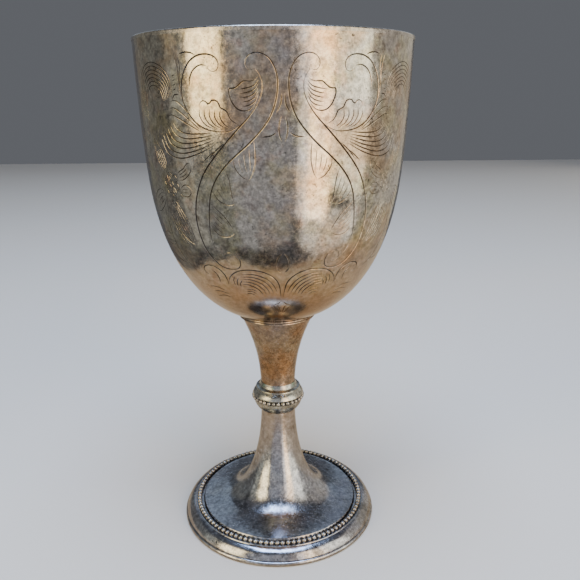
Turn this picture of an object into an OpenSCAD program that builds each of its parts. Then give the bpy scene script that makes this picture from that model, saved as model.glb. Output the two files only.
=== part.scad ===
// Presentation goblet: a spun bowl on a hollow stem with a beaded knop and a beaded foot.
// Origin: centre of the ring the foot stands on. +Z is the axis of the cup. Millimetres.

/* [Bowl] */
// Outer radius of the bowl at the lip
lip_r = 64.5; // [63:0.5:66]
// Height of the lip above the table
cup_h = 250.5; // [240:0.5:260]
// Height of the flat underside of the bowl
bowl_z = 118; // [116:0.5:120]
// Radius of the flat underside of the bowl
seat_r = 19; // [18.5:0.25:19.5]
// Thickness of the spun bowl wall
bowl_wall = 1.2; // [0.8:0.1:1.4]
// Height of the lip wire
lip_wire_h = 1.9; // [1.6:0.1:2.4]

/* [Stem] */
// Outer radius of the stem where it enters the knop
stem_r = 9.2; // [8.8:0.1:9.6]
// Thickness of the stem and foot walls
stem_wall = 1.0; // [0.8:0.1:1.2]
// Outer radius of the stem where it meets the bowl collar
flare_r = 18.6; // [18:0.1:18.8]
// Height of the knop's bead row
knop_z = 69.6; // [68:0.2:71]
// Radius of the circle through the knop's bead centres
knop_bead_ring_r = 13.05; // [13:0.05:13.2]
// Radius of one knop bead
knop_bead_r = 1.15; // [1.05:0.05:1.15]
// Number of beads around the knop
knop_beads = 32; // [28:1:32]

/* [Foot] */
// Radius of the ring that the foot stands on
base_r = 53; // [52:0.5:54]
// Radius of the circle through the foot's bead centres
foot_bead_ring_r = 45.1; // [45:0.05:45.2]
// Radius of one foot bead
foot_bead_r = 1.25; // [1.1:0.05:1.25]
// Number of beads around the foot
foot_beads = 102; // [90:1:102]

/* [Tie rod] */
// Radius of the threaded tie rod
rod_r = 3; // [2.5:0.25:3]
// Width of the nut across its flats
nut_flats = 10; // [9:0.5:11]

/* [Hidden] */

round_fn = 96;
bead_fn = 24;
curve_steps = 18;
silver = [0.66, 0.63, 0.58];
worn_silver = [0.60, 0.52, 0.42];
dark_silver = [0.42, 0.43, 0.45];
brass = [0.72, 0.58, 0.34];
steel = [0.55, 0.56, 0.58];

lip_wire_z = cup_h - lip_wire_h;
collar_h = 2.4;
collar_z = bowl_z - collar_h;
collar_bore_r = 15;
boss_r = 13;
boss_h = 6;
boss_spigot_r = 8;
// The foot: its dish edge, the seat the beads lie on, and the flange outside them
dish_r = 41.8;
dish_z = 8.9;
bead_seat_z = 7.25;
bead_seat_r = 42.8;
flange_r = 46.6;
flange_z = 8;
base_ring_h = 2.6;
base_ring_w = 3.5;
// Strip under the beads of each beaded wire, how far it stands up and its width
knop_core_h = 1.2;
foot_core_h = 0.95;
foot_core_w = 1.6;
// The knop: the recess that holds its bead wire, and where each half meets the stem
knop_recess_r = knop_bead_ring_r - knop_bead_r;
knop_top_z = knop_z + 8.7;
knop_foot_z = knop_z - 7.4;
knop_lip = knop_bead_r + 0.05;
stem_gap = 0.3;
ferrule_bore_r = rod_r + 1.5;
// The foot bridge, washer and nut that the tie rod pulls against
bridge_z = 22;
bridge_h = 2;
washer_h = 1.2;
washer_r = 7.5;
nut_h = 5;
rod_foot_z = bridge_z - washer_h - nut_h - 2.5;
rod_clearance = 0.2;

// ---- curves ----
// Point at t on a cubic curve with control points p
function cubic(p, t) =
    pow(1 - t, 3) * p[0] + 3 * pow(1 - t, 2) * t * p[1]
    + 3 * (1 - t) * t * t * p[2] + t * t * t * p[3];
// Unit normal at t, to the right of the direction of travel
function cubic_normal(p, t) =
    let (d = 3 * pow(1 - t, 2) * (p[1] - p[0]) + 6 * (1 - t) * t * (p[2] - p[1])
             + 3 * t * t * (p[3] - p[2]))
    [d[1], -d[0]] / norm(d);
// The curve as points, moved by off along its normal, leaving out its first point
function run(p, off = 0) =
    [for (i = [1:curve_steps]) let (t = i / curve_steps) cubic(p, t) + off * cubic_normal(p, t)];
function backwards(points) = [for (i = [len(points) - 1:-1:0]) points[i]];

// Outer curves, from the bottom up, as [radius, height]
bowl_belly = [[seat_r, bowl_z], [37.5, 124], [56.2, 145], [60.8, 187]];
bowl_side = [[60.8, 187], [62.8, 205], [lip_r - 0.6, 230], [lip_r, lip_wire_z]];
stem_flare = [[stem_r, knop_top_z], [stem_r + 0.3, 92], [13, 104], [flare_r, collar_z]];
foot_neck = [[30, 11.2], [15, 15.5], [stem_r + 0.4, 40], [stem_r, knop_foot_z]];
foot_dish = [[dish_r, dish_z], [37.5, 9.4], [34, 10.1], [30, 11.2]];

module spun(points) {
    rotate_extrude($fn = round_fn) polygon(points);
}

module ring(inner_r, outer_r, z, h) {
    translate([0, 0, z]) difference() {
        cylinder(r = outer_r, h = h, $fn = round_fn);
        translate([0, 0, -1]) cylinder(r = inner_r, h = h + 2, $fn = round_fn);
    }
}

module bead_row(count, ring_r, bead_r, z) {
    for (i = [0:count - 1])
        rotate([0, 0, i * 360 / count])
            translate([ring_r, 0, z]) sphere(r = bead_r, $fn = bead_fn);
}

// ---- bowl ----
module bowl() {
    outer = concat([[0, bowl_z], [seat_r, bowl_z]], run(bowl_belly), run(bowl_side));
    inner = concat(backwards(run(bowl_side, -bowl_wall)), backwards(run(bowl_belly, -bowl_wall)),
                   [[seat_r - 1, bowl_z + bowl_wall], [0, bowl_z + bowl_wall]]);
    color(silver) spun(concat(outer, inner));
}

// The wire soldered on the bowl's top edge, with a rounded crown
module lip_wire() {
    inner_r = lip_r - bowl_wall - 0.4;
    outer_r = lip_r + 0.15;
    crown_r = (outer_r - inner_r) / 2;
    crown = [for (a = [0:15:180]) [inner_r + crown_r + crown_r * cos(a),
                                   cup_h - crown_r + crown_r * sin(a)]];
    color(silver) spun(concat([[inner_r, lip_wire_z], [outer_r, lip_wire_z]], crown));
}

// The reeded ring between the bowl and the stem: two fine ridges with a groove
module bowl_collar() {
    color(worn_silver) spun([
        [collar_bore_r, collar_z], [flare_r, collar_z], [flare_r + 0.9, collar_z + 0.3],
        [flare_r + 1.2, collar_z + 0.7], [flare_r + 0.9, collar_z + 1.1],
        [flare_r + 0.6, collar_z + 1.25], [flare_r + 1.2, collar_z + 1.4],
        [flare_r + 1.5, collar_z + 1.8], [flare_r + 1.2, collar_z + 2.2],
        [flare_r + 0.4, bowl_z], [collar_bore_r, bowl_z]]);
}

// The turned boss brazed under the bowl, bored for the tie rod
module bowl_boss() {
    color(brass) difference() {
        union() {
            translate([0, 0, bowl_z - boss_h / 2])
                cylinder(r = boss_r, h = boss_h / 2, $fn = round_fn);
            translate([0, 0, bowl_z - boss_h])
                cylinder(r = boss_spigot_r, h = boss_h, $fn = round_fn);
        }
        translate([0, 0, bowl_z - boss_h - 1]) cylinder(r = rod_r, h = boss_h, $fn = round_fn);
    }
}

// ---- stem ----
module upper_stem() {
    low_z = knop_z + stem_gap;
    outer = concat([[stem_r, low_z], [stem_r, knop_top_z]], run(stem_flare));
    inner = concat(backwards(run(stem_flare, -stem_wall)),
                   [[stem_r - stem_wall, knop_top_z], [stem_r - stem_wall, low_z]]);
    color(worn_silver) spun(concat(outer, inner));
}

// Upper half of the knop: a sloping band, a fine ridge and a hollow fillet to the stem
module knop_upper() {
    ridge_z = knop_z + 5.4;
    fillet = [for (a = [0:15:90]) [stem_r + 0.25 + 1.4 * (1 - sin(a)), knop_top_z - 2.3 * cos(a)]];
    color(silver) spun(concat(
        [[stem_r, knop_z], [knop_recess_r, knop_z], [knop_recess_r, knop_z + knop_lip],
         [knop_recess_r + 1.5, knop_z + knop_lip], [knop_recess_r + 1.7, knop_z + 1.7],
         [knop_recess_r + 1.4, knop_z + 2.6], [knop_recess_r + 0.7, knop_z + 3.9],
         [knop_recess_r - 0.2, ridge_z - 0.35], [knop_recess_r, ridge_z],
         [knop_recess_r - 0.4, ridge_z + 0.4]],
        fillet, [[stem_r, knop_top_z]]));
}

// Lower half of the knop: a lip under the beads and a cup that closes on the stem
module knop_lower() {
    cup = [for (a = [0:15:90]) [stem_r + 0.4 + 3.1 * cos(a), knop_z - 2.2 - 4.9 * sin(a)]];
    color(silver) spun(concat(
        [[stem_r, knop_z], [knop_recess_r, knop_z], [knop_recess_r, knop_z - knop_lip],
         [knop_recess_r + 1.1, knop_z - knop_lip]],
        cup, [[stem_r, knop_foot_z]]));
}

// Beaded wire around the knop: a core strip with its beads in one piece
module knop_beading() {
    color(silver) union() {
        ring(knop_recess_r, knop_bead_ring_r - 0.15, knop_z - knop_core_h / 2, knop_core_h);
        bead_row(knop_beads, knop_bead_ring_r, knop_bead_r, knop_z);
    }
}

// Turned sleeve inside the knop that both halves of the stem are soldered over
module stem_ferrule() {
    color(brass) ring(ferrule_bore_r, stem_r - stem_wall, knop_foot_z, knop_top_z - knop_foot_z);
}

// ---- foot ----
module foot_trumpet() {
    low_z = bead_seat_z - stem_wall;
    outer = concat(
        [[flange_r, low_z], [flange_r, bead_seat_z], [bead_seat_r, bead_seat_z],
         [dish_r + 0.4, dish_z + 0.1], [dish_r, dish_z]],
        run(foot_dish), run(foot_neck), [[stem_r, knop_z - stem_gap]]);
    inner = concat([[stem_r - stem_wall, knop_z - stem_gap]],
                   backwards(run(foot_neck, -stem_wall)),
                   backwards(run(foot_dish, -stem_wall)), [[dish_r - 0.2, low_z]]);
    color(dark_silver) spun(concat(outer, inner));
}

module foot_beading() {
    core_in_r = foot_bead_ring_r - foot_core_w / 2;
    color(dark_silver) union() {
        ring(core_in_r, core_in_r + foot_core_w, bead_seat_z, foot_core_h);
        bead_row(foot_beads, foot_bead_ring_r, foot_bead_r, bead_seat_z + foot_bead_r);
    }
}

// The domed moulding outside the beads, from its step down to the groove over the base ring
module foot_flange() {
    out_r = base_r - 0.8;
    dome = [[out_r, base_ring_h + 0.6], [out_r - 0.9, 5.6],
            [flange_r + 3, 7.2], [flange_r + 0.8, flange_z - 0.25]];
    color(dark_silver) spun(concat(
        [[out_r - 0.6, base_ring_h], [out_r - 0.15, base_ring_h + 0.35]], [dome[0]], run(dome),
        [[flange_r + 0.6, flange_z], [flange_r, flange_z], [flange_r, bead_seat_z - stem_wall]],
        backwards(run(dome, -stem_wall)), [[out_r - 1.6, base_ring_h]]));
}

// The drawn ring the cup stands on, with a rounded outer edge
module foot_base_ring() {
    edge_r = base_ring_h / 2;
    edge = [for (a = [-90:15:60]) [base_r - edge_r + edge_r * cos(a), edge_r + edge_r * sin(a)]];
    color(dark_silver) spun(concat(
        [[base_r - base_ring_w, 0]], edge,
        [[base_r - 1.4, base_ring_h], [base_r - base_ring_w, base_ring_h]]));
}

// ---- tie rod and its fittings, hidden in the stem and foot ----
module tie_rod() {
    color(steel) translate([0, 0, rod_foot_z])
        cylinder(r = rod_r, h = bowl_z - 1 - rod_foot_z, $fn = round_fn);
}

// Plate that bears on the inside of the trumpet
module foot_bridge() {
    hollow = concat([[0, dish_z], [dish_r, dish_z]], run(foot_dish, -stem_wall),
                    run(foot_neck, -stem_wall), [[0, knop_foot_z]]);
    color(brass) difference() {
        rotate_extrude($fn = round_fn) intersection() {
            polygon(hollow);
            translate([0, bridge_z]) square([dish_r, bridge_h]);
        }
        translate([0, 0, bridge_z - 1])
            cylinder(r = rod_r + rod_clearance, h = bridge_h + 2, $fn = round_fn);
    }
}

module tie_washer() {
    color(steel) ring(rod_r + rod_clearance, washer_r, bridge_z - washer_h, washer_h);
}

module tie_nut() {
    color(brass) translate([0, 0, bridge_z - washer_h - nut_h]) difference() {
        cylinder(r = nut_flats / sqrt(3), h = nut_h, $fn = 6);
        translate([0, 0, -1]) cylinder(r = rod_r, h = nut_h + 2, $fn = round_fn);
    }
}

bowl();
lip_wire();
bowl_collar();
bowl_boss();
upper_stem();
knop_upper();
knop_lower();
knop_beading();
stem_ferrule();
foot_trumpet();
foot_beading();
foot_flange();
foot_base_ring();
tie_rod();
foot_bridge();
tie_washer();
tie_nut();
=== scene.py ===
# %% [markdown]
# # A tarnished presentation goblet
# The cup is silver plate on brass: a deep spun bowl, hand engraved all round, on a hollow stem with
# a beaded knop and a dished foot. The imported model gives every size. This lesson makes the
# surfaces that the eye meets: smooth turned metal, real cut lines, beads, and old tarnish.

import math
import bpy
import numpy as np
from mathutils import Matrix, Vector
from mathutils.geometry import delaunay_2d_cdt


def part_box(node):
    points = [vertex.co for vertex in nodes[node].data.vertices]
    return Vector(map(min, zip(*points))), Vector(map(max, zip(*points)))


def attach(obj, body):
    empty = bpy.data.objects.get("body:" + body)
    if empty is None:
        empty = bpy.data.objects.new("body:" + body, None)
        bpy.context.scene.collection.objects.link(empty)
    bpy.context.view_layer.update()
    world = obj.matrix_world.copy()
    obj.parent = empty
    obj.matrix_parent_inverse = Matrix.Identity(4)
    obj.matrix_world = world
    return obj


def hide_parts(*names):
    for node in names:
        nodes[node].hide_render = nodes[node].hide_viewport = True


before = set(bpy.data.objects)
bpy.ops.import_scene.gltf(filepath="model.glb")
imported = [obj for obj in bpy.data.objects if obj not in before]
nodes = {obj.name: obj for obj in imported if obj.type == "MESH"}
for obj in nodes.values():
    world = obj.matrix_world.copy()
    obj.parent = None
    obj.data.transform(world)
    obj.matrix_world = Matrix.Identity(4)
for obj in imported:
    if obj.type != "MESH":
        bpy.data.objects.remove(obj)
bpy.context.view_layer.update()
MM = 0.001
print("nodes in the frame:", sorted(nodes))

# %% [markdown]
# ## Camera
# A phone held close and a little above the foot, looking slightly down into the cup's side. A short
# lens close by makes the bowl look large and the foot small, so the distance matters as much as
# the angle. The camera is turned with one matrix: down, then sideways, then a slight roll.

# %% Camera
CAMERA_PLACE = (0.0, -0.3195, 0.22515)
LOOK_DOWN, LOOK_RIGHT, ROLL = (math.radians(a) for a in (16.82, 1.23, -0.35))
bpy.ops.object.camera_add()
camera = bpy.context.object
camera.data.lens = 39.89
camera.data.clip_start = 0.01
turn = (Matrix.Rotation(-LOOK_RIGHT, 4, "Z") @ Matrix.Rotation(math.pi / 2 - LOOK_DOWN, 4, "X")
        @ Matrix.Rotation(ROLL, 4, "Z"))
camera.matrix_world = Matrix.Translation(CAMERA_PLACE) @ turn
bpy.context.scene.camera = camera
print("camera at", CAMERA_PLACE)

# %% [markdown]
# ## Turning a piece
# A metal spinner forms sheet over a turning chuck, so every plain piece of this cup is one outline
# turned round one axis. By hand that is a single vertex extruded along the outline, then Spin. The
# outlines are short lists of places, with cubic curves where the metal sweeps.

# %% Outline and spin helpers
def cubic(p, count):
    """Points along a cubic curve with control points p, leaving out the first."""
    t = np.linspace(0, 1, count + 1)[1:, None]
    p = np.array(p, float)
    at = (1 - t) ** 3 * p[0] + 3 * (1 - t) ** 2 * t * p[1] + 3 * (1 - t) * t ** 2 * p[2] + t ** 3 * p[3]
    return [tuple(point) for point in at]


def arc(centre, radius, start, end, count=8):
    """Points along an arc in degrees, where 0 points outwards and 90 up."""
    angles = [math.radians(start + (end - start) * i / count) for i in range(count + 1)]
    return [(centre[0] + radius * math.cos(a), centre[1] + radius * math.sin(a)) for a in angles]


def moved_in(outline, thickness):
    """The outline moved by a wall's thickness to the left of its direction, and run backwards."""
    p = np.array(outline, float)
    d = np.gradient(p, axis=0)
    d /= np.linalg.norm(d, axis=1)[:, None]
    return [tuple(q) for q in (p + thickness * np.stack([-d[:, 1], d[:, 0]], 1))[::-1]]


def spun(name, outline, steps=192, crease=30):
    """Turns an outline of (radius, height) points, in millimetres, round the cup's axis."""
    bpy.ops.object.select_all(action="DESELECT")
    bpy.ops.mesh.primitive_plane_add(size=MM, location=(outline[0][0] * MM, 0, outline[0][1] * MM))
    bpy.ops.object.transform_apply(location=True, rotation=True, scale=True)
    bpy.ops.object.mode_set(mode="EDIT")
    bpy.ops.mesh.merge(type="CENTER")
    for a, b in zip(outline, outline[1:]):
        step = ((b[0] - a[0]) * MM, 0, (b[1] - a[1]) * MM)
        bpy.ops.mesh.extrude_vertices_move(TRANSFORM_OT_translate={"value": step})
    bpy.ops.mesh.select_all(action="SELECT")
    bpy.ops.mesh.spin(steps=steps, angle=math.tau, center=(0, 0, 0), axis=(0, 0, 1))
    bpy.ops.mesh.select_all(action="SELECT")
    bpy.ops.mesh.remove_doubles(threshold=0.003 * MM)
    bpy.ops.mesh.normals_make_consistent(inside=False)
    bpy.ops.object.mode_set(mode="OBJECT")
    bpy.ops.object.shade_smooth_by_angle(angle=math.radians(crease))
    piece = bpy.context.object
    piece.name = piece.data.name = name
    return piece


def settle(piece, node):
    """The piece stands for its CAD node: it hangs under the root body, and the CAD node is hidden."""
    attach(piece, "root")
    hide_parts(node)
    print(piece.name, "has", len(piece.data.polygons), "faces")


def size_of(node):
    """Outer radius, lowest height and highest height of a CAD node, in millimetres."""
    low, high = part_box(node)
    return round(high.x / MM, 2), round(low.z / MM, 2), round(high.z / MM, 2)


# %% [markdown]
# ## The bowl's skin
# The engraving has to lie on the bowl, so the skin is described by how far a point is along the
# wall from the seat, in millimetres, and by its angle round the cup. A table of the curve's own
# length gives radius, height and outward direction at any place.

# %% Bowl curve
lip_r, seat_z, wall_top = size_of("bowl")
SEAT_R = 19
WALL = 1.2
BELLY = [(SEAT_R, seat_z), (37.5, 124), (56.2, 145), (60.8, 187)]
SIDE = [(60.8, 187), (62.8, 205), (lip_r - 0.6, 230), (lip_r, wall_top)]
skin = np.array([(SEAT_R, seat_z)] + cubic(BELLY, 400) + cubic(SIDE, 400))
along = np.concatenate([[0], np.cumsum(np.linalg.norm(np.diff(skin, axis=0), axis=1))])
lean = np.gradient(skin, axis=0)
lean /= np.linalg.norm(lean, axis=1)[:, None]
WALL_LENGTH = along[-1]


def on_skin(s):
    """Radius, height and outward normal of the bowl's outside at length s along the wall."""
    return [np.interp(s, along, column) for column in (skin[:, 0], skin[:, 1], lean[:, 1], -lean[:, 0])]


print("bowl wall is", round(WALL_LENGTH, 1), "mm from seat to lip")

# %% [markdown]
# ## The engraver's drawing
# The pattern repeats every half turn and is the same on both sides of each panel, so one quarter is
# drawn and copied. Each cut is a few places, (degrees from the panel's middle, millimetres up the
# wall), joined by a smooth curve. Nested lines are blends between a first and a last cut, as an
# engraver sets out a leaf. Widths are in millimetres at the widest part of the cut.

# %% Drawing helpers
VEIN_ENDS = (0.1, 0.66)
PETAL = [(0.62, -0.92), (0.88, -0.6), (1.0, 0), (0.88, 0.6), (0.62, 0.92)]
cuts = []


def cut(points, width=0.62):
    """One engraved line through a few places."""
    cuts.append((points, width))


def nest(first, last, count, width=0.5):
    """A family of cuts that blends from the first line to the last."""
    a, b = np.array(first, float), np.array(last, float)
    for i in range(count):
        cut([tuple(p) for p in a + (b - a) * i / (count - 1)], width)


def leaf(side_a, side_b, veins=3, width=0.46):
    """Two sides that meet at the tip, with short veins blended between them."""
    cut(side_a, width)
    cut(side_b, width)
    a, b = np.array(side_a, float), np.array(side_b, float)[::-1]
    n = min(len(a), len(b))
    a, b = a[:n], b[:n]
    at = np.linspace(*VEIN_ENDS, 4) * (n - 1)
    for i in range(1, veins + 1):
        line = a + (b - a) * i / (veins + 1)
        vein = [(np.interp(t, range(n), line[:, 0]), np.interp(t, range(n), line[:, 1])) for t in at]
        cut(vein, width * 0.75)


def flower(centre, radius, petals, width=0.4):
    """Round petals about an eye. The radius is in millimetres."""
    s = centre[1]
    per_degree = math.radians(1) * float(on_skin(s)[0])

    def place(r, a):
        return (centre[0] + r * math.cos(a) / per_degree, s + r * math.sin(a))

    eye = 0.26 * radius
    cut([place(eye, math.tau * i / 8) for i in range(9)], width)
    for i in range(petals):
        middle = math.tau * (i + 0.25) / petals
        half = math.pi / petals
        shape = [(eye * 1.2, -0.5)] + [(r * radius, a) for r, a in PETAL] + [(eye * 1.2, 0.5)]
        cut([place(r, middle + a * half) for r, a in shape], width)
        cut([place(radius * 0.4, middle), place(radius * 0.75, middle)], width * 0.8)


# %% [markdown]
# ### Scroll bands
# Two broad ribbons start as curled heads beside the middle, cross towards the sides, sweep round
# the empty panel and end as small volutes at its foot.

# %% Scroll bands
cut([(9.4, 133.3), (11.4, 132.8), (12.7, 134.3), (12.6, 136.7), (10.8, 138.6), (8, 138.9), (5, 137.3),
     (3, 134), (2, 130), (2, 125.5), (2.7, 121), (4.2, 116.5), (6.5, 112.5), (9.5, 108.6),
     (13.2, 104.6), (17.4, 100.8), (22.4, 95.8), (26.6, 90.2), (29, 85), (30.4, 79), (31.4, 72.5),
     (31.8, 66), (31, 60.6), (28.4, 56)], 0.8)
cut([(9.4, 133.3), (7.9, 131), (7.1, 128), (7.5, 124), (9.3, 119.8), (12.2, 115.5), (16.8, 110.4),
     (21.7, 104.9), (26.5, 99.4), (31.4, 93), (34.6, 86.6), (36.8, 80), (37.9, 73), (37.5, 65.5),
     (35.9, 59), (32.8, 54), (29.4, 51.1), (25, 50), (21.2, 50.8), (19.6, 53.3), (20.2, 56.2),
     (22.2, 58.3), (24.6, 58.8), (26.4, 57.6), (26.6, 55.2), (25, 53.4), (23, 54)], 0.8)
cut([(0.5, 124.5), (0.9, 120.5), (2.4, 117)])
cut([(0.6, 116), (1.5, 112.8), (1.4, 109.2), (0.5, 105.8)])
cut([(2.2, 109.8), (4.6, 108.3), (8, 107.9)])
print("cuts so far:", len(cuts))

# %% [markdown]
# ### Leaves round the bands
# A broad leaf hangs under each head, a branch curls up to a second head, and fronds fan outwards.

# %% Upper leaves and branch
cut([(8.4, 130.6), (9.6, 129.3), (11.6, 128.7), (13.6, 128.9), (15.4, 127.4), (17, 126.2), (19, 126.1),
     (18.9, 123.6), (17.9, 120.8), (16, 118.5), (13.6, 117.8), (11, 118.8), (9.2, 121.6)])
nest([(8.3, 129.4), (10, 127.2), (13, 126.2), (15.8, 125.8)],
     [(8.5, 124), (9.9, 121.2), (12.2, 119.8), (14.4, 119.6)], 5)
nest([(30.8, 119), (31, 116), (29, 112.7), (25.4, 110.9)],
     [(22.4, 118.6), (22.8, 115.6), (21.4, 112.9), (19.2, 111.4)], 5)
cut([(30.9, 118.8), (30.6, 120.8), (28.6, 121.8), (27, 120.2), (25.6, 121.9), (23.4, 121.4),
     (22.4, 119), (20.2, 117.8), (18.8, 114.6), (15.6, 112.4)])
cut([(26.6, 134.6), (25.9, 132.9), (24, 132.4), (22.6, 133.6), (22.5, 136), (24.1, 138), (27, 138.8),
     (30.4, 138.4), (33.8, 136.4), (36.6, 132.6), (38.2, 127.6), (38.2, 122.4), (36.6, 118),
     (33.6, 114), (29.6, 111.2), (25, 110), (19.6, 110.1), (14.4, 112.9)], 0.72)
cut([(26.6, 134.6), (29.6, 134.9), (32.6, 133), (34.2, 129.8), (34.6, 126.4)])
nest([(41, 139.2), (39.6, 135), (39.4, 130), (39.2, 124.4)],
     [(39.2, 139), (38.4, 135), (39, 130), (38.8, 122)], 2)
cut([(38.8, 139), (35.8, 139.8), (32.8, 139.4), (31, 138.4)])
print("cuts so far:", len(cuts))

# %% Side fronds and plume
nest([(30, 110.2), (34, 114.6), (38, 119), (42, 121.8), (45, 121.2)],
     [(30, 109.4), (35, 111.8), (40, 114.4), (44.6, 116.2), (47, 115.4)], 3, 0.6)
cut([(39.6, 124), (42.2, 124), (43.6, 122)])
nest([(26, 109.4), (32, 108.9), (38, 109), (42.2, 110.6), (44.2, 113)],
     [(24.6, 105.2), (33, 101), (42, 98.8), (49.4, 100.8), (52.8, 107)], 6, 0.6)
nest([(24, 103.2), (27.4, 101), (31.6, 97.4)], [(21.6, 105.6), (25.4, 102.4), (29, 98.4)], 2)
nest([(43.4, 123), (44.2, 130), (48.4, 134.8), (55, 136.9), (61.4, 135.2), (66, 130), (68.6, 122),
      (69.4, 114)],
     [(48.4, 121.6), (49.8, 125.4), (52.6, 127.4), (55.8, 127.8), (58.8, 126.2), (60.8, 122.6),
      (61.8, 118), (62, 113)], 7, 0.5)
nest([(54, 81.6), (54.6, 74), (51.6, 66), (46.2, 58.4)],
     [(47.4, 82), (45.8, 75), (42.8, 68), (39.4, 61.4)], 6, 0.36)
nest([(56, 112), (57.6, 107.6), (60.4, 103.6)], [(48.4, 112), (49.6, 107), (51.6, 102.6)], 4, 0.36)
nest([(41, 131.6), (42.8, 131.2)], [(41, 126.4), (42.8, 125.6)], 4, 0.42)
print("cuts so far:", len(cuts))

# %% Leaves inside the panel
leaf([(10.6, 106.6), (10.2, 102), (10.4, 97.6), (11.4, 93.8), (12.8, 91)],
     [(12.8, 91), (15.2, 92), (17.4, 94.4), (18.6, 97.6), (18.2, 99.8)])
leaf([(22.2, 95.6), (21, 91.6), (20.4, 87.4), (20, 83.8), (19, 80.8)],
     [(19, 80.8), (22.4, 80.4), (25.8, 82.2), (28, 85.6), (28.2, 86.8)])
leaf([(29.8, 81), (27, 78.2), (24.4, 75.6), (22.2, 72.4), (20, 68)],
     [(20, 68), (23.6, 66.2), (27.6, 66.8), (30.4, 70), (31, 71.6)], 4)
print("cuts so far:", len(cuts))

# %% [markdown]
# ### Foot of the panel
# Two large fans of nested arcs meet at the middle, a pointed leaf stands between them, and a curled
# comma of leaf closes each side.

# %% Lower scrolls
cut([(0.5, 32), (1.1, 38), (2, 42.6), (4.2, 46), (7.8, 48.6), (12.4, 50), (17.4, 50.1), (22, 49),
     (26, 46.4), (28.4, 42.8), (29, 39.6)], 0.75)
nest([(2.4, 36), (4.6, 41.6), (8.6, 45.8), (14.4, 47.8), (20.6, 47.4)],
     [(10.4, 34.4), (11.6, 37.6), (14, 40), (17.6, 41.6), (21.6, 41.8)], 5, 0.6)
nest([(24, 46.6), (25.4, 43.6), (25, 40.6)], [(20.4, 44.4), (22, 42), (22, 39.4)], 3, 0.5)
nest([(13.4, 37.4), (16.4, 39), (19.6, 38.6)], [(14.6, 34.6), (17.4, 36.2), (20.4, 35.4)], 3, 0.5)
cut([(29.4, 40), (29, 44), (30.2, 47.6), (33, 50), (36.8, 50.8), (40.2, 50), (41.8, 48), (41, 46),
     (38.8, 45.2)], 0.72)
cut([(37, 48.6), (34.6, 46.8), (33.6, 43.8), (34.2, 41)])
cut([(0.4, 59), (1.8, 57.2), (2.8, 54.6), (2.9, 51.8)], 0.7)
cut([(2.9, 51.8), (2, 50.2), (0.6, 49)])
cut([(0.5, 31), (2.4, 29), (6, 27.6)])
nest([(5.8, 26.6), (3.2, 23.6), (1.2, 19.6)], [(2.4, 28), (1.4, 24.4), (0.6, 20.4)], 2, 0.6)
nest([(32, 36), (38, 38), (44, 37.4)], [(30, 32), (36, 32.6), (42, 31)], 3, 0.5)
print("cuts so far:", len(cuts))

# %% [markdown]
# ### Side panels
# Between the two framed panels the sides carry a loose bunch of flowers and long leaves. Less is
# known of them, so they are drawn in the same hand with simple leaves and round flowers.

# %% Side bunches
flower((49.6, 87.4), 5.2, 6)
leaf([(52, 92.6), (51.4, 96.4), (53, 100.6), (55.4, 103.6), (58.4, 106.4)],
     [(58.4, 106.4), (58.8, 102), (57.6, 97.6), (55.6, 94.2), (53.4, 92.2)])
leaf([(45.6, 91.6), (43.4, 93.4), (41.2, 94.6), (39.4, 96.6), (36.8, 97.2)],
     [(36.8, 97.2), (37.6, 93.6), (40, 91), (42.6, 89.6), (45, 89.6)], 2)
leaf([(52.6, 80.8), (53, 75.4), (51, 68.6), (47, 63.2), (41.6, 60.2)],
     [(41.6, 60.2), (41.4, 65.4), (42.6, 70.6), (45.4, 76), (49, 80.6)], 4)
leaf([(44.4, 85.6), (42, 87.6), (39.6, 87.4), (37.8, 85.4)],
     [(37.8, 85.4), (39.8, 83), (42.4, 82.6), (44.8, 83.4)], 2)
leaf([(55.4, 83.4), (60, 84.2), (64.4, 82.4), (67.8, 78.6), (69.4, 73.4)],
     [(69.4, 73.4), (65, 73.4), (60.8, 75.4), (57.6, 78), (55.2, 81)], 3)
flower((73.6, 95), 5.6, 5)
leaf([(68.2, 97), (65.2, 99.6), (63.8, 103.6), (64.4, 108), (66.8, 112.4)],
     [(66.8, 112.4), (69.6, 109.4), (71, 105.4), (70.8, 101.6), (70.2, 99.8)])
leaf([(75, 101.6), (74.4, 106.4), (75.6, 111.4), (78.4, 116), (82.2, 119.4)],
     [(82.2, 119.4), (83.4, 114), (82.4, 108.8), (80, 104.6), (77.2, 101.4)])
leaf([(79.6, 95.6), (82.6, 97.6), (85.8, 98), (88.8, 96.4)],
     [(88.8, 96.4), (87.4, 93.4), (84, 91.6), (80.4, 92)], 2)
leaf([(74.6, 88.6), (77.2, 82.6), (78.2, 76), (77.4, 69.6), (74.8, 63.4)],
     [(74.8, 63.4), (71.6, 68), (70.6, 73.6), (71.2, 79.6), (72.6, 88)], 4)
cut([(57, 76), (58.6, 68), (58.2, 60), (55.4, 53), (50.8, 48.4), (46.2, 46.8)], 0.7)
cut([(73.4, 62), (70, 56), (64.6, 51.6), (58.4, 49.4), (52.8, 49.6)], 0.7)
leaf([(58.6, 62), (62.4, 63.8), (66, 63.2), (69, 60.4)],
     [(69, 60.4), (66.4, 57.8), (62.6, 57.4), (59, 58.8)], 2)
nest([(80, 132), (83, 134), (87, 134.2), (89.4, 133)],
     [(72.6, 124), (77.6, 125.4), (83.6, 125), (89, 121.6)], 4, 0.55)
nest([(60, 44), (66, 47), (73, 47), (79, 43)], [(64, 38), (68, 40), (72, 40), (76, 37)], 3, 0.55)
leaf([(84, 88), (81.6, 80), (82, 71), (84.4, 63), (88.6, 56)],
     [(88.6, 56), (89.2, 64), (88.6, 72), (87.6, 80), (86.4, 88)], 2)
print("cuts drawn in one quarter:", len(cuts))

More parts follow.
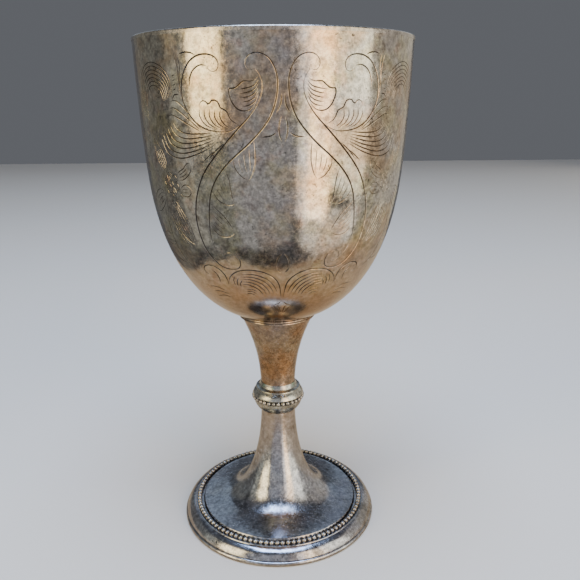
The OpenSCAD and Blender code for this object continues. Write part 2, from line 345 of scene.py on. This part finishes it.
# %% [markdown]
# ## Cutting the lines
# A graver leaves a V-shaped groove with crisp edges that tapers to nothing at both ends. Each cut
# becomes three lines, two edges and a middle, laid into a net of triangles over the opened-out
# wall. The net is a constrained Delaunay mesh, which keeps those lines as mesh edges, and then
# every point is pushed in by how deep it lies inside a cut.

# %% Cut lines on the opened-out wall
FLAT_R = 60
CUT_STEP = 1.3
SLOPE = 0.5
CLEAR_OF_CUTS = 0.35
SHALLOWEST, DEEPEST = 0.06, 0.3


def smooth(points, step):
    """A smooth curve through the places, as evenly spaced points on the opened-out wall, in mm."""
    p = np.array(points, float) * (math.radians(1) * FLAT_R, 1)
    p = np.vstack([2 * p[0] - p[1], p, 2 * p[-1] - p[-2]])
    fine = []
    for a, b, c, d in zip(p, p[1:], p[2:], p[3:]):
        t = np.linspace(0, 1, 12, endpoint=False)[:, None]
        fine.append(0.5 * (2 * b + (c - a) * t + (2 * a - 5 * b + 4 * c - d) * t ** 2
                           + (3 * b - a - 3 * c + d) * t ** 3))
    fine = np.vstack(fine + [p[-2:-1]])
    squeeze = on_skin(fine[:, 1])[0] / FLAT_R
    gaps = np.hypot(np.diff(fine[:, 0]) * squeeze[1:], np.diff(fine[:, 1]))
    true = np.concatenate([[0], np.cumsum(gaps)])
    at = np.linspace(0, true[-1], max(4, int(true[-1] / step) + 1))
    return np.stack([np.interp(at, true, fine[:, 0]), np.interp(at, true, fine[:, 1])], 1)


def groove(points, width):
    """Middle line, half width at each point, and the two edge lines of one cut."""
    middle = smooth(points, CUT_STEP)
    t = np.linspace(0, 1, len(middle))
    half = 0.5 * width * np.minimum(1, 0.25 + 3 * np.minimum(t, 1 - t))
    half[0] = half[-1] = 0
    squeeze = on_skin(middle[:, 1])[0] / FLAT_R
    true = middle * np.stack([squeeze, np.ones_like(squeeze)], 1)
    d = np.gradient(true, axis=0)
    d /= np.linalg.norm(d, axis=1)[:, None]
    side = np.stack([-d[:, 1] / squeeze, d[:, 0]], 1) * half[:, None]
    return middle, half, middle + side, middle - side


grooves = [groove(points, width) for points, width in cuts]
print("length of cuts in one quarter:", round(sum(len(g[0]) for g in grooves) * CUT_STEP), "mm")

# %% Net of triangles over one quarter
STEPS = 256
QUARTER_W = math.pi / 2 * FLAT_R
net_points, net_edges = [], []
for middle, half, left, right in grooves:
    first = len(net_points)
    n = len(middle)
    net_points += [tuple(p) for p in middle]
    net_edges += [(first + i, first + i + 1) for i in range(n - 1)]
    for edge_line in (left, right):
        start = len(net_points)
        net_points += [tuple(p) for p in edge_line[1:-1]]
        chain = [first] + list(range(start, start + n - 2)) + [first + n - 1]
        net_edges += list(zip(chain, chain[1:]))

columns = np.linspace(0, QUARTER_W, STEPS // 4 + 1)
rows = np.linspace(0, WALL_LENGTH, 76)
grid = np.array([(x, s) for s in rows for x in columns])
segment_a = np.vstack([g[0][:-1] for g in grooves])
segment_b = np.vstack([g[0][1:] for g in grooves])
half_a = np.concatenate([g[1][:-1] for g in grooves])
half_b = np.concatenate([g[1][1:] for g in grooves])


def depth_inside(points):
    """How far inside a cut each point lies, from 0 at an edge, in mm, and negative outside."""
    best = np.full(len(points), -99.0)
    for i in range(0, len(points), 500):
        p = points[i:i + 500]
        scale = np.stack([on_skin(p[:, 1])[0] / FLAT_R, np.ones(len(p))], 1)[:, None]
        a, b = segment_a[None] * scale, segment_b[None] * scale
        q = p[:, None] * scale
        run = b - a
        t = np.clip(((q - a) * run).sum(2) / (run ** 2).sum(2), 0, 1)
        gap = np.linalg.norm(q - (a + run * t[..., None]), axis=2)
        best[i:i + 500] = (half_a + (half_b - half_a) * t - gap).max(1)
    return best


on_border = (np.isin(grid[:, 0], columns[[0, -1]])) | (np.isin(grid[:, 1], rows[[0, -1]]))
keep = on_border | (depth_inside(grid) < -CLEAR_OF_CUTS)
net_points += [tuple(p) for p in grid[keep]]
verts, _, faces, _, _, _ = delaunay_2d_cdt(net_points, net_edges, [], 0, 1e-5, True)
flat = np.array([tuple(v) for v in verts])
faces = np.array([f for f in faces])
print("net of one quarter:", len(flat), "points,", len(faces), "triangles")

# %% Wrap the net round the bowl, four times
depth = depth_inside(flat)
depth[depth < SHALLOWEST] = 0
radius, height, out_r, out_z = on_skin(flat[:, 1])
radius, height = radius - out_r * depth * SLOPE, height - out_z * depth * SLOPE
angle = flat[:, 0] / FLAT_R
PANEL_TURN = math.radians(3)
all_points, all_faces = [], []
for half_turn in (0, math.pi):
    for mirror in (1, -1):
        a = PANEL_TURN + half_turn + mirror * angle
        start = sum(len(p) for p in all_points)
        all_points.append(np.stack([radius * np.sin(a), -radius * np.cos(a), height], 1) * MM)
        all_faces.append((faces if mirror == 1 else faces[:, ::-1]) + start)
outside = bpy.data.meshes.new("bowl_outside")
outside.from_pydata(np.vstack(all_points).tolist(), [], np.vstack(all_faces).tolist())
cut_depth = outside.attributes.new("cut", "FLOAT", "POINT")
cut_depth.data.foreach_set("value", np.tile(np.minimum(depth / DEEPEST, 1), 4).astype(np.float32))
engraved = bpy.data.objects.new("bowl_outside", outside)
bpy.context.collection.objects.link(engraved)
print("engraved outside:", len(outside.polygons), "triangles")

# %% [markdown]
# The plain inside and underside are one spun outline with as many steps as the engraved skin has
# columns, so the two join edge to edge. Sharp edges are kept at the cuts. The triangles between the
# cuts are long and thin, so their shading is given the bowl's true outward direction at each corner,
# or the metal would look dented beside every line.

# %% Inside, underside and joining
inside_line = moved_in(skin[::12].tolist() + [skin[-1].tolist()], WALL)
inside_line = [p for p in inside_line if p[0] > SEAT_R] + [(SEAT_R - 1, seat_z + WALL), (0, seat_z + WALL)]
inner = spun("bowl_inside", [(lip_r, wall_top)] + inside_line, STEPS)
inner.data.transform(Matrix.Rotation(PANEL_TURN, 4, "Z"))
under = spun("bowl_under", [(SEAT_R, seat_z), (0, seat_z)], STEPS)
under.data.transform(Matrix.Rotation(PANEL_TURN, 4, "Z"))
bpy.ops.object.select_all(action="DESELECT")
for part in (inner, under, engraved):
    part.select_set(True)
bpy.context.view_layer.objects.active = engraved
bpy.ops.object.join()
bpy.ops.object.mode_set(mode="EDIT")
bpy.ops.mesh.select_all(action="SELECT")
bpy.ops.mesh.remove_doubles(threshold=0.004 * MM)
bpy.ops.mesh.normals_make_consistent(inside=False)
bpy.ops.object.mode_set(mode="OBJECT")
bpy.ops.object.shade_smooth_by_angle(angle=math.radians(18))
bowl = bpy.context.object
bowl.name = bowl.data.name = "engraved_bowl"

NEAR_SKIN, HARDLY_CUT = 0.12, 0.1
mesh = bowl.data
corner_of = np.empty(len(mesh.loops), np.int32)
mesh.loops.foreach_get("vertex_index", corner_of)
place = np.empty(len(mesh.vertices) * 3, np.float32)
mesh.vertices.foreach_get("co", place)
place = place.reshape(-1, 3) / MM
cut_value = np.empty(len(mesh.vertices), np.float32)
mesh.attributes["cut"].data.foreach_get("value", cut_value)
face_sizes = np.empty(len(mesh.polygons), np.int32)
mesh.polygons.foreach_get("loop_total", face_sizes)
face_of = np.repeat(np.arange(len(face_sizes)), face_sizes)
ring_r = np.hypot(place[:, 0], place[:, 1])
off_skin = np.abs(ring_r - np.interp(place[:, 2], skin[:, 1], skin[:, 0]))
on_plain = (off_skin < NEAR_SKIN) & (cut_value < HARDLY_CUT)
first_corner = np.cumsum(face_sizes) - face_sizes
is_plain = np.minimum.reduceat(on_plain[corner_of].astype(int), first_corner)
is_plain &= np.maximum.reduceat(place[corner_of, 2], first_corner) > seat_z + 0.01
up = -np.interp(place[:, 2], skin[:, 1], lean[:, 0])
out = np.interp(place[:, 2], skin[:, 1], lean[:, 1]) / np.maximum(ring_r, 1)
true_normal = np.stack([place[:, 0] * out, place[:, 1] * out, up], 1)
mesh.normals_split_custom_set((true_normal[corner_of] * is_plain[face_of][:, None]).tolist())
print("plain faces with the bowl's own direction:", int(is_plain.sum()))
settle(bowl, "bowl")

# %% [markdown]
# ## Lip wire and collar
# A half-round wire is soldered on the raw top edge to stiffen it. Under the bowl a thin reeded ring
# hides the joint with the stem.

# %% Lip wire
wire_r, wire_z, cup_top = size_of("lip_wire")
wire_in = lip_r - WALL - 0.4
crown = (wire_r - wire_in) / 2
lip = spun("lip_wire_round", [(wire_in, wire_z), (wire_r, wire_z)]
           + arc((wire_in + crown, cup_top - crown), crown, 0, 180, 12) + [(wire_in, wire_z)], 256, 60)
settle(lip, "lip_wire")

# %% Reeded collar
FLARE_R = 18.6
COLLAR_BORE = 15
reed_r, collar_z, collar_top = size_of("bowl_collar")
collar = spun("reeded_collar", [(COLLAR_BORE, collar_z), (FLARE_R, collar_z)]
              + arc((reed_r - 0.95, collar_z + 0.65), 0.62, -90, 90, 8)
              + [(reed_r - 1.1, collar_z + 1.35)]
              + arc((reed_r - 0.6, collar_z + 1.9), 0.6, -90, 70, 8)
              + [(FLARE_R + 0.4, collar_top), (COLLAR_BORE, collar_top), (COLLAR_BORE, collar_z)], 192, 50)
settle(collar, "bowl_collar")

# %% [markdown]
# ## Stem and knop
# The upper stem flares up to the bowl. The knop hides where it meets the foot's trumpet: a sloping
# band above, a small cup below, and a row of beads between them.

# %% Upper stem
STEM_R = 9.2
STEM_WALL = 1.0
_, stem_low, _ = size_of("upper_stem")
knop_r, _, knop_top = size_of("knop_upper")
flare = [(STEM_R, stem_low), (STEM_R, knop_top)]
flare += cubic([(STEM_R, knop_top), (STEM_R + 0.3, 92), (13, 104), (FLARE_R, collar_z)], 40)
stem = spun("upper_stem_flare", flare + moved_in(flare, STEM_WALL) + flare[:1])
settle(stem, "upper_stem")

# %% Knop halves
_, knop_low, knop_z = size_of("knop_lower")
RECESS_R = 11.9
BEAD_LIP = 1.2
ridge_z = knop_z + 5.4
band = spun("knop_band", [(STEM_R, knop_z), (RECESS_R, knop_z), (RECESS_R, knop_z + BEAD_LIP)]
            + arc((RECESS_R + 1.3, knop_z + BEAD_LIP + 0.4), 0.4, -90, 20, 5)
            + cubic([(RECESS_R + 1.66, knop_z + 1.8), (RECESS_R + 1.5, knop_z + 3.2),
                     (RECESS_R + 0.2, knop_z + 4.2), (RECESS_R - 0.45, ridge_z - 0.5)], 10)
            + arc((RECESS_R - 0.45, ridge_z - 0.05), 0.45, -80, 90, 6)
            + cubic([(RECESS_R - 0.7, ridge_z + 0.5), (STEM_R + 0.5, ridge_z + 0.9),
                     (STEM_R + 0.5, knop_top - 1.2), (STEM_R + 0.25, knop_top)], 10)
            + [(STEM_R, knop_top), (STEM_R, knop_z)], 192, 40)
settle(band, "knop_upper")
cup = spun("knop_cup", [(STEM_R, knop_z), (RECESS_R, knop_z), (RECESS_R, knop_z - BEAD_LIP),
                        (RECESS_R + 1.1, knop_z - BEAD_LIP)]
           + cubic([(RECESS_R + 1.1, knop_z - BEAD_LIP), (RECESS_R + 1.0, knop_z - 4.2),
                    (STEM_R + 1.6, knop_low + 0.8), (STEM_R + 0.4, knop_low)], 14)
           + [(STEM_R, knop_low), (STEM_R, knop_z)], 192, 40)
settle(cup, "knop_lower")

# %% [markdown]
# ## Beaded wire
# Beaded wire is rolled as a strip with half-round beads on it and soldered into a groove. One bead
# is made from a sphere and copied round the ring, and a thin strip runs under the row.

# %% Beads
def beaded(name, count, ring_r, bead_r, z, core):
    """A ring of beads on a strip, and how many faces the strip has.

    The core is the strip's (inner radius, outer radius, low, high).
    """
    strip = spun(name + "_strip", [(core[0], core[2]), (core[1], core[2]), (core[1], core[3]),
                                   (core[0], core[3]), (core[0], core[2])], 192)
    bpy.ops.object.select_all(action="DESELECT")
    bpy.ops.mesh.primitive_uv_sphere_add(segments=14, ring_count=9, radius=bead_r * MM,
                                         location=(ring_r * MM, 0, z * MM))
    bpy.ops.object.transform_apply(location=True, rotation=True, scale=True)
    bpy.ops.object.shade_smooth()
    bead = bpy.context.object
    strip_faces = len(strip.data.polygons)
    pieces = [strip, bead]
    for i in range(1, count):
        other = bead.copy()
        other.data = bead.data.copy()
        other.data.transform(Matrix.Rotation(math.tau * i / count, 4, "Z"))
        bpy.context.collection.objects.link(other)
        pieces.append(other)
    for piece in pieces:
        piece.select_set(True)
    bpy.context.view_layer.objects.active = strip
    bpy.ops.object.join()
    strip.name = strip.data.name = name
    return strip, strip_faces


BEAD_SEAT = 7.25
KNOP_BEADS, KNOP_BEAD_RING = 32, 13.05
FOOT_BEADS, FOOT_BEAD_RING = 102, 45.1
_, bead_low, bead_high = size_of("knop_beading")
knop_bead_r = (bead_high - bead_low) / 2
knop_beads, knop_strip_faces = beaded("knop_bead_row", KNOP_BEADS, KNOP_BEAD_RING, knop_bead_r, knop_z,
                                      (RECESS_R, 12.9, knop_z - 0.6, knop_z + 0.6))
settle(knop_beads, "knop_beading")
_, foot_bead_low, foot_bead_high = size_of("foot_beading")
foot_bead_r = (foot_bead_high - foot_bead_low) / 2
foot_strip = (FOOT_BEAD_RING - 0.8, FOOT_BEAD_RING + 0.8, BEAD_SEAT, BEAD_SEAT + 0.95)
foot_beads, foot_strip_faces = beaded("foot_bead_row", FOOT_BEADS, FOOT_BEAD_RING, foot_bead_r,
                                      foot_bead_low + foot_bead_r, foot_strip)
settle(foot_beads, "foot_beading")

# %% [markdown]
# ## Foot
# The trumpet spreads from the knop into a wide shallow dish. The beads sit in a step round it, and
# outside them a domed flange drops to the ring that the cup stands on.

# %% Trumpet
_, _, trumpet_top = size_of("foot_trumpet")
DISH_R, DISH_Z, FLANGE_R = 41.8, 8.9, 46.6
BEAD_SEAT_R = 42.8
sweep = [(DISH_R, DISH_Z)] + cubic([(DISH_R, DISH_Z), (37.5, 9.4), (34, 10.1), (30, 11.2)], 12)
sweep += cubic([(30, 11.2), (15, 15.5), (STEM_R + 0.4, 40), (STEM_R, knop_low)], 60)
sweep += [(STEM_R, trumpet_top)]
seat_under = BEAD_SEAT - STEM_WALL
inside = [p for p in moved_in(sweep, STEM_WALL) if p[1] > seat_under]
step = [(FLANGE_R, seat_under), (FLANGE_R, BEAD_SEAT), (BEAD_SEAT_R, BEAD_SEAT),
        (DISH_R + 0.45, DISH_Z - 0.2), (DISH_R + 0.25, DISH_Z + 0.02)]
trumpet = spun("foot_trumpet_spun",
               step + sweep + inside + [(DISH_R - 0.2, seat_under), (FLANGE_R, seat_under)], 256)
settle(trumpet, "foot_trumpet")

# %% Flange and base ring
flange_out, flange_low, flange_top = size_of("foot_flange")
dome = cubic([(flange_out, flange_low + 0.6), (flange_out - 0.9, 5.6), (FLANGE_R + 3, 7.2),
              (FLANGE_R + 0.8, flange_top - 0.25)], 24)
lower_edge = [(flange_out - 0.6, flange_low), (flange_out - 0.15, flange_low + 0.35),
              (flange_out, flange_low + 0.6)]
flange = spun("foot_flange_dome", lower_edge + dome
              + [(FLANGE_R + 0.6, flange_top), (FLANGE_R, flange_top), (FLANGE_R, seat_under)]
              + moved_in(dome, STEM_WALL) + [(flange_out - 1.6, flange_low), (flange_out - 0.6, flange_low)],
              256)
settle(flange, "foot_flange")
base_r, _, ring_top = size_of("foot_base_ring")
edge_r = ring_top / 2
base_ring = spun("foot_base_round", [(base_r - 3.5, 0), (base_r - edge_r, 0)]
                 + arc((base_r - edge_r, edge_r), edge_r, -90, 62, 14)
                 + [(base_r - 1.4, ring_top), (base_r - 3.5, ring_top), (base_r - 3.5, 0)], 256)
settle(base_ring, "foot_base_ring")

# %% [markdown]
# ## Finishes
# Silver darkens as it meets sulphur in the air: first straw, then brown, then purple and blue-grey,
# and nearly black in pits and corners where nobody polishes. One builder makes every plated finish
# from the same layers, and each piece gives it its own colours.

# %% Material helpers
def colour(hex_code):
    """An sRGB hex colour as linear red, green, blue and full alpha."""
    parts = [int(hex_code[i:i + 2], 16) / 255 for i in (1, 3, 5)]
    return tuple(c / 12.92 if c <= 0.04045 else ((c + 0.055) / 1.055) ** 2.4 for c in parts) + (1,)


def add(tree, kind, inputs=None, **settings):
    """Adds a node, with settings for its properties and a value or a link for each named input."""
    node = tree.nodes.new(kind)
    for name, value in settings.items():
        setattr(node, name, value)
    for name, value in (inputs or {}).items():
        if isinstance(value, bpy.types.NodeSocket):
            tree.links.new(value, node.inputs[name])
        else:
            node.inputs[name].default_value = value
    return node


def mix(tree, amount, a, b, kind="MIX"):
    """Blends colour a to colour b by an amount, each a hex code or a socket."""
    node = add(tree, "ShaderNodeMix", data_type="RGBA", blend_type=kind)
    for index, value in ((0, amount), (6, a), (7, b)):
        if isinstance(value, bpy.types.NodeSocket):
            tree.links.new(value, node.inputs[index])
        else:
            node.inputs[index].default_value = colour(value) if isinstance(value, str) else value
    return node.outputs[2]


def ramp(tree, value, low, high, to_low=0.0, to_high=1.0):
    """Stretches a value from one range to another, clamped."""
    node = add(tree, "ShaderNodeMapRange", {"Value": value, "From Min": low, "From Max": high,
                                            "To Min": to_low, "To Max": to_high})
    return node.outputs["Result"]


def noise(tree, place, size_mm, detail=4, rough=0.55):
    """A cloudy pattern whose blobs are about size_mm across."""
    node = add(tree, "ShaderNodeTexNoise", {"Vector": place, "Scale": 1000 / size_mm, "Detail": detail,
                                            "Roughness": rough})
    return node.outputs["Fac"]


def new_material(name, metallic=1.0, roughness=0.3):
    """A material with its tree, its shader and the object's own coordinates."""
    material = bpy.data.materials.new(name)
    material.use_nodes = True
    tree = material.node_tree
    shader = tree.nodes["Principled BSDF"]
    shader.inputs["Metallic"].default_value = metallic
    shader.inputs["Roughness"].default_value = roughness
    place = add(tree, "ShaderNodeTexCoord").outputs["Object"]
    return material, tree, shader, place


# %% [markdown]
# The plated finish goes on in layers: clean silver, a thin coloured film, a warm cloud, a dark cloud,
# fine mottling and black pits. A piece may add one more of its own, such as grime in the cuts. The
# cloudy layers also change how sharply the metal reflects, and the cuts are matt. Sizes are in mm.

# %% Silver plate
SOOT, UMBER, PIT_BLACK = "#0e0c0a", "#2a2520", "#15120f"
STRAW_FILM, ROSE_FILM, VIOLET_FILM = "#cfc287", "#c99c8c", "#9a8fa0"


def plated(name, clean, warm, dark, warm_part, dark_part, rough, pits, extra=None, sheen=0.12):
    """Old silver plate. The parts are how much of the surface each tarnish takes, from 0 to 1."""
    material, tree, shader, place = new_material(name)
    cloud = noise(tree, place, 38, 5, 0.62)
    blotch = noise(tree, place, 9, 6, 0.7)
    fine = noise(tree, place, 1.6, 5, 0.75)
    film = ramp(tree, noise(tree, place, 24, 4, 0.6), 0.4, 0.62, 0, 0.6)
    base = mix(tree, film, clean, mix(tree, 0.6, clean, VIOLET_FILM))
    base = mix(tree, ramp(tree, noise(tree, place, 13, 4, 0.6), 0.48, 0.66, 0, sheen), base, STRAW_FILM)
    base = mix(tree, ramp(tree, noise(tree, place, 7.5, 4, 0.6), 0.54, 0.7, 0, 0.8 * sheen), base, ROSE_FILM)
    warm_mask = ramp(tree, cloud, 0.68 - 0.36 * warm_part, 0.8 - 0.36 * warm_part, 0, 0.85)
    base = mix(tree, warm_mask, base, warm)
    dark_mask = ramp(tree, blotch, 0.72 - 0.4 * dark_part, 0.86 - 0.4 * dark_part, 0, 0.85)
    base = mix(tree, dark_mask, base, dark)
    mottle = noise(tree, place, 3.2, 7, 0.78)
    base = mix(tree, ramp(tree, mottle, 0.36, 0.6, 0.5, 1), SOOT, base)
    base = mix(tree, ramp(tree, fine, 0.35, 0.7, 0.7, 1), UMBER, base)
    speck = ramp(tree, noise(tree, place, 1.1, 3, 0.6), 0.72 - 0.08 * pits, 0.76 - 0.08 * pits, 0, 0.85)
    where = ramp(tree, noise(tree, place, 14, 3), 0.44, 0.6)
    speck = add(tree, "ShaderNodeMath", {0: speck, 1: where}, operation="MULTIPLY").outputs[0]
    base = mix(tree, speck, base, PIT_BLACK)
    if extra:
        base = extra(tree, place, base)
    tree.links.new(base, shader.inputs["Base Color"])
    dull = add(tree, "ShaderNodeMath", {0: cloud, 1: fine}, operation="MULTIPLY").outputs[0]
    cut_here = add(tree, "ShaderNodeAttribute", attribute_name="cut").outputs["Fac"]
    matt = add(tree, "ShaderNodeMath", {0: ramp(tree, dull, 0.14, 0.42, *rough),
                                        1: ramp(tree, cut_here, 0, 0.4, 0, 0.22)}, operation="ADD")
    tree.links.new(matt.outputs[0], shader.inputs["Roughness"])
    ripple = noise(tree, place, 26, 2, 0.4)
    hills = add(tree, "ShaderNodeBump", {"Height": ripple, "Distance": 0.25 * MM, "Strength": 0.5})
    grit = add(tree, "ShaderNodeBump", {"Height": fine, "Distance": 0.02 * MM, "Strength": 0.35,
                                        "Normal": hills.outputs["Normal"]})
    tree.links.new(grit.outputs["Normal"], shader.inputs["Normal"])
    return material


def cut_grime_and_low_reflection(tree, place, base):
    """Dark grime in the engraved lines, and browner metal low on the bowl: partly brown tarnish, partly a
    painted reflection of the wooden table.
    """
    height = add(tree, "ShaderNodeSeparateXYZ", {"Vector": place}).outputs["Z"]
    # Painted reflection of the wooden table, mixed with brown tarnish: the bowl turns browner towards its
    # bottom.
    low = ramp(tree, height, 0.162, 0.140)
    base = mix(tree, low, base, mix(tree, 0.45, base, "#b08a5c"))
    cut_here = add(tree, "ShaderNodeAttribute", attribute_name="cut").outputs["Fac"]
    return mix(tree, ramp(tree, cut_here, 0.05, 0.45, 0, 0.86), base, "#1c1712")


def tarnish_and_reflection_up_trumpet(tree, place, base):
    """Browner metal higher up the trumpet: partly brown tarnish, partly a painted reflection of the wooden
    table.
    """
    height = add(tree, "ShaderNodeSeparateXYZ", {"Vector": place}).outputs["Z"]
    # Painted reflection of the wooden table, with brown tarnish, rising with height up the trumpet.
    return mix(tree, ramp(tree, height, 0.028, 0.07, 0, 0.75), base, mix(tree, 0.5, base, "#b89c76"))


def joint_green(tree, place, base):
    """Pale verdigris that creeps out of the knop's upper joint in patches."""
    height = add(tree, "ShaderNodeSeparateXYZ", {"Vector": place}).outputs["Z"]
    near = ramp(tree, height, (knop_top - 2.2) * MM, (knop_top - 0.6) * MM)
    patch = ramp(tree, noise(tree, place, 7, 3), 0.5, 0.58, 0, 0.8)
    green = add(tree, "ShaderNodeMath", {0: near, 1: patch}, operation="MULTIPLY").outputs[0]
    return mix(tree, green, base, "#8fb3a6")


BOWL_PLATE = plated("silver_plate_tarnished", "#d2cdc2", "#c4a98c", "#8c8078", 0.5, 0.4,
                    (0.1, 0.24), 1.3, cut_grime_and_low_reflection, 0.5)
LIP_PLATE = plated("silver_plate_bright_wire", "#cfc9bf", "#a89478", "#6b6258", 0.3, 0.2, (0.18, 0.35), 0.3)
STEM_PLATE = plated("silver_plate_worn_brown", "#b8a992", "#a9835f", "#5c5044", 0.6, 0.4, (0.17, 0.36), 0.6)
KNOP_PLATE = plated("silver_plate_moulding", "#ccd1cd", "#a09c8c", "#4a4a43", 0.35, 0.4, (0.18, 0.36), 0.7,
                    joint_green)
BEAD_PLATE = plated("silver_plate_beaded_wire", "#bfc0be", "#8f8a80", "#45444a", 0.35, 0.35,
                    (0.18, 0.36), 0.5)
FOOT_PLATE = plated("silver_plate_blue_grey", "#c3c8d2", "#9a9793", "#565a62", 0.3, 0.42, (0.14, 0.32), 1.1,
                    tarnish_and_reflection_up_trumpet)

for piece, material in ((bowl, BOWL_PLATE), (lip, LIP_PLATE), (collar, STEM_PLATE), (stem, STEM_PLATE),
                        (band, KNOP_PLATE), (cup, KNOP_PLATE), (knop_beads, BEAD_PLATE),
                        (foot_beads, BEAD_PLATE), (trumpet, FOOT_PLATE), (flange, FOOT_PLATE),
                        (base_ring, FOOT_PLATE)):
    piece.data.materials.clear()
    piece.data.materials.append(material)

# Near-black strip under each row of beads: dark tarnish and painted shade in the recesses between the beads.
BEAD_RECESS_TARNISH_AND_SHADE, _, shader, _ = new_material("bead_recess_tarnish_and_shade", 0.35, 0.6)
shader.inputs["Base Color"].default_value = colour("#26221e")
for beads, strip_faces in ((knop_beads, knop_strip_faces), (foot_beads, foot_strip_faces)):
    beads.data.materials.append(BEAD_RECESS_TARNISH_AND_SHADE)
    for face in beads.data.polygons[:strip_faces]:
        face.material_index = 1
print("plated pieces coloured, with tarnish and painted shade between", KNOP_BEADS + FOOT_BEADS, "beads")


# %% Brass and steel inside the foot
def turned_metal(name, bright, dull):
    """Unplated turned metal, dulled and stained by age."""
    material, tree, shader, place = new_material(name)
    stain = ramp(tree, noise(tree, place, 5, 5, 0.65), 0.4, 0.65)
    tree.links.new(mix(tree, stain, bright, dull), shader.inputs["Base Color"])
    tree.links.new(ramp(tree, stain, 0, 1, 0.32, 0.55), shader.inputs["Roughness"])
    return material


RAW_BRASS = turned_metal("brass_turned", "#b08d57", "#6a4f2e")
ROD_STEEL = turned_metal("steel_drawn", "#8f8d89", "#5a4a3c")
for name, material in (("bowl_boss", RAW_BRASS), ("stem_ferrule", RAW_BRASS), ("foot_bridge", RAW_BRASS),
                       ("tie_nut", RAW_BRASS), ("tie_rod", ROD_STEEL), ("tie_washer", ROD_STEEL)):
    nodes[name].data.materials.clear()
    nodes[name].data.materials.append(material)

# %% [markdown]
# ## Floor and light
# Polished metal only shows what it reflects, so the light is built for its reflections: a tall window
# to the right with its frame, curtain and sill, a shorter window to the left, dim walls beyond both,
# a card behind the camera, a wall behind the cup and a cool skylight. None is seen directly. The cup
# stands near the front corner of its table, so the pale floor is left out of reflections and a
# smaller table top, with that corner cut off, takes its place there.

# %% Floor and table top
def flat_sheet(name, corners, material):
    """A level sheet at table height, with its corners in order seen from above."""
    mesh = bpy.data.meshes.new(name)
    mesh.from_pydata([(x, y, 0) for x, y in corners], [], [range(len(corners))])
    mesh.materials.append(material)
    sheet = bpy.data.objects.new(name, mesh)
    bpy.context.collection.objects.link(sheet)
    return sheet


PALE_PAINT, _, shader, _ = new_material("matt_pale_paint", 0.0, 0.8)
shader.inputs["Base Color"].default_value = colour("#d6d3cd")
OAK_TONE, _, shader, _ = new_material("oiled_wood_tone", 0.0, 0.7)
shader.inputs["Base Color"].default_value = colour("#cdb38d")
floor = flat_sheet("pale_floor", [(-2, -2), (2, -2), (2, 2), (-2, 2)], PALE_PAINT)
floor.visible_glossy = False
floor.visible_shadow = False
table = flat_sheet("table_in_reflections", [(-0.2, 0.5), (-0.2, -0.04), (-0.14, -0.14), (0.15, -0.152),
                                            (0.3, -0.06), (0.54, 0.1), (0.54, 0.5)], OAK_TONE)
table.visible_camera = table.visible_diffuse = table.visible_shadow = False


# %% Lights
def softbox(name, azimuth, distance, low, high, width, glow, tint):
    """An upright soft panel facing the cup. Azimuth 0 is the camera's side and 90 is to the right."""
    a = math.radians(azimuth)
    place = (distance * math.sin(a), -distance * math.cos(a), (low + high) / 2)
    bpy.ops.object.light_add(type="AREA", location=place, rotation=(math.pi / 2, 0, a))
    light = bpy.context.object
    light.name = name
    light.data.shape = "RECTANGLE"
    light.data.size, light.data.size_y = width, high - low
    light.data.energy = 4 * width * (high - low) * glow
    light.data.color = colour(tint)[:3]
    light.visible_camera = False
    return light


softbox("window_right", 37, 1.5, -0.62, 1.6, 0.5, 4.8, "#ffdbad")
softbox("window_right_frame", 23, 1.5, -0.62, 1.6, 0.24, 2.0, "#f3ede6")
softbox("curtain_right", 64, 1.5, -0.3, 1.6, 0.9, 2.3, "#f6efda")
softbox("wall_right", 110, 1.6, -1.2, 1.6, 2.5, 0.55, "#efe4cf")
softbox("sill_right", 52, 1.5, -1.4, -0.5, 1.6, 1.3, "#f1e7d8")
softbox("window_left", -55, 1.5, 0.0, 1.4, 0.74, 4.6, "#fde3ad")
softbox("wall_under_window", -58, 1.5, -1.3, 0.0, 1.1, 0.22, "#eceedd")
softbox("wall_left", -82, 1.6, -1.0, 1.4, 0.55, 0.34, "#ecead2")
softbox("far_corner_left", -112, 1.8, -1.2, 1.4, 2.2, 0.11, "#e6e0c0")
softbox("card_behind_camera", -11, 1.6, -1.4, 1.5, 1.6, 0.4, "#f3f1f4")
softbox("wall_behind", 180, 1.8, 0.7, 2.4, 2.6, 0.42, "#c0d2e6")
skylight = softbox("skylight", 0, 0.35, 1.4, 2.3, 0.9, 12, "#b4cff8")
skylight.location = (0.0, -0.25, 1.5)
skylight.rotation_euler = (0, 0, 0)
world = bpy.data.worlds.new("soft_room")
world.use_nodes = True
background = world.node_tree.nodes["Background"].inputs
background["Color"].default_value = colour("#8d9097")
background["Strength"].default_value = 0.45
bpy.context.scene.world = world
print("lights placed:", len(bpy.data.lights))
